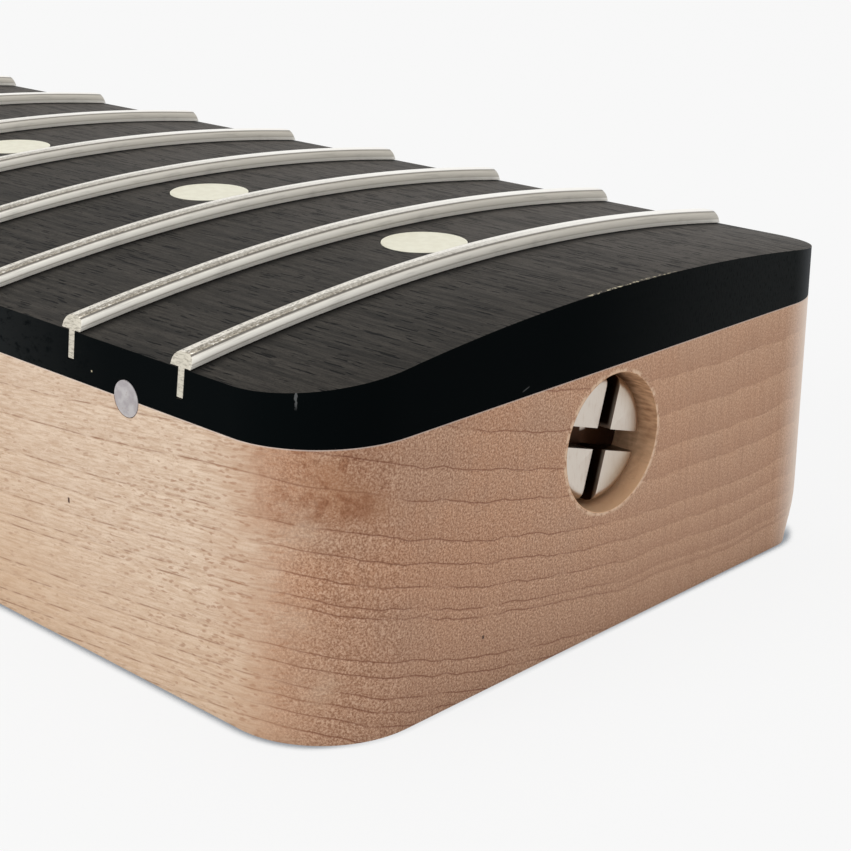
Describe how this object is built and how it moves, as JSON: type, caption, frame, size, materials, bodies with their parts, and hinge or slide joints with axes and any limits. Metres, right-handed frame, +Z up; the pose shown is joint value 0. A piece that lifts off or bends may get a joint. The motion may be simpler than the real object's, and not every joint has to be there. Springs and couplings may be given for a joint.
{
  "type": "electric guitar neck",
  "caption": "Bolt-on electric guitar neck: maple shaft with a squared heel, dark slab fretboard with frets and dot inlays, drilled headstock and a truss rod adjusted at the heel end.",
  "frame": {"origin": "middle of the four neck screw holes on the heel's flat underside", "axes": "+X along the neck towards the heel end and the bridge, -X towards the headstock, -Y the bass side with the side dots, +Z up through the fretboard"},
  "size_m": [0.6461, 0.0744, 0.0274],
  "materials": {
    "maple": "bare sanded maple, pale tan with fine growth lines",
    "ebony": "dark satin fretboard wood with fine open pores",
    "fret_wire": "levelled nickel silver",
    "face_dot": "cream, sanded flush",
    "side_dot": "pale grey pearl, sanded flush",
    "bone": "polished bone",
    "rod_steel": "plain steel",
    "adjuster_nickel": "dull nickel plate"
  },
  "bodies": {
    "neck_body": {"neck": "maple", "channel_fillet": "maple", "fretboard": "ebony", "fret_01": "fret_wire", "fret_02": "fret_wire", "fret_03": "fret_wire", "fret_04": "fret_wire", "fret_05": "fret_wire", "fret_06": "fret_wire", "fret_07": "fret_wire", "fret_08": "fret_wire", "fret_09": "fret_wire", "fret_10": "fret_wire", "fret_11": "fret_wire", "fret_12": "fret_wire", "fret_13": "fret_wire", "fret_14": "fret_wire", "fret_15": "fret_wire", "fret_16": "fret_wire", "fret_17": "fret_wire", "fret_18": "fret_wire", "fret_19": "fret_wire", "fret_20": "fret_wire", "fret_21": "fret_wire", "face_dot_3": "face_dot", "face_dot_5": "face_dot", "face_dot_7": "face_dot", "face_dot_9": "face_dot", "face_dot_12_a": "face_dot", "face_dot_12_b": "face_dot", "face_dot_15": "face_dot", "face_dot_17": "face_dot", "face_dot_19": "face_dot", "face_dot_21": "face_dot", "side_dot_3": "side_dot", "side_dot_5": "side_dot", "side_dot_7": "side_dot", "side_dot_9": "side_dot", "side_dot_12_a": "side_dot", "side_dot_12_b": "side_dot", "side_dot_15": "side_dot", "side_dot_17": "side_dot", "side_dot_19": "side_dot", "side_dot_21": "side_dot", "string_nut": "bone", "truss_rod": "rod_steel", "truss_rod_anchor": "rod_steel"},
    "adjuster_carrier": {"truss_rod_washer": "rod_steel"},
    "adjuster": {"truss_rod_nut": "adjuster_nickel"}
  },
  "joints": [
    {"name": "adjuster_advance", "type": "slide", "parent": "neck_body", "child": "adjuster_carrier", "axis": [1, 0, 0], "range_m": [-0.00079, 0.00079]},
    {"name": "adjuster_turn", "type": "hinge", "parent": "adjuster_carrier", "child": "adjuster", "pos_m": [0.039, 0, 0.0143], "axis": [1, 0, 0], "range_deg": [-360, 360]}
  ],
  "couplings": [
    {"joint": "adjuster_turn", "follows": "adjuster_advance", "rad_per_m": 7915.8}
  ]
}
